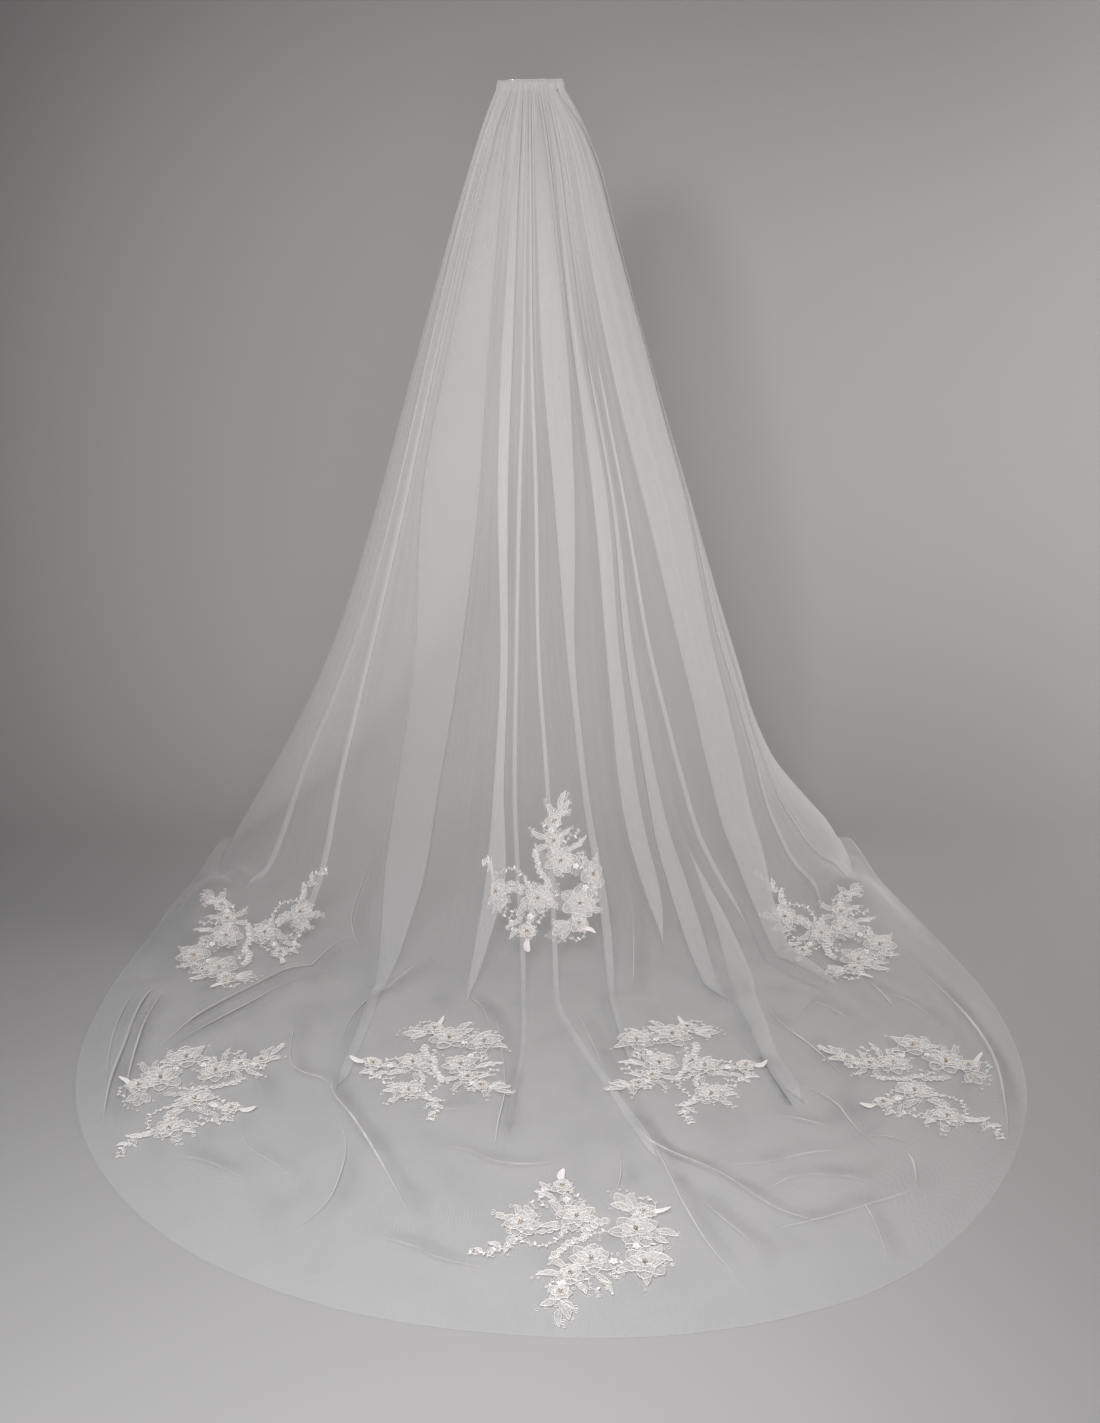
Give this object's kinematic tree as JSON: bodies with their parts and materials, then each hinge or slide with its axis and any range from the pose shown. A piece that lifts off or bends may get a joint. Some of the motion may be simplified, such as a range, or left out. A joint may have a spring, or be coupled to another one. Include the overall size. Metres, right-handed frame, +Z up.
{
  "type": "veil",
  "caption": "Long sheer tulle veil on a short gathered band with a hidden comb, flaring to a rounded train with paired floral lace appliques.",
  "frame": {"origin": "middle of the comb's back face, where the veil is pinned on, 1.648 m above the floor that the train lies on", "axes": "+X to the right seen from the train side, +Y to the open back, -Y the way the train spreads, +Z up"},
  "size_m": [1.6669, 1.6131, 1.653],
  "materials": {
    "tulle": "sheer off-white tulle net",
    "binding": "off-white gathered ribbon binding",
    "comb": "clear plastic",
    "lace": "corded ivory-white lace with seed beads and sequins"
  },
  "bodies": {
    "root": {"tulle_drape": "tulle", "header_band": "binding", "hair_comb": "comb", "lace_large_left": "lace", "lace_small_left": "lace", "lace_large_right": "lace", "lace_small_right": "lace", "lace_large_inner_left": "lace", "lace_small_inner_left": "lace", "lace_large_inner_right": "lace", "lace_small_inner_right": "lace", "lace_large_hem": "lace", "lace_small_hem": "lace", "lace_large_upper_left": "lace", "lace_small_upper_left": "lace", "lace_large_upper_right": "lace", "lace_small_upper_right": "lace", "lace_large_centre": "lace", "lace_small_centre": "lace"}
  },
  "joints": []
}
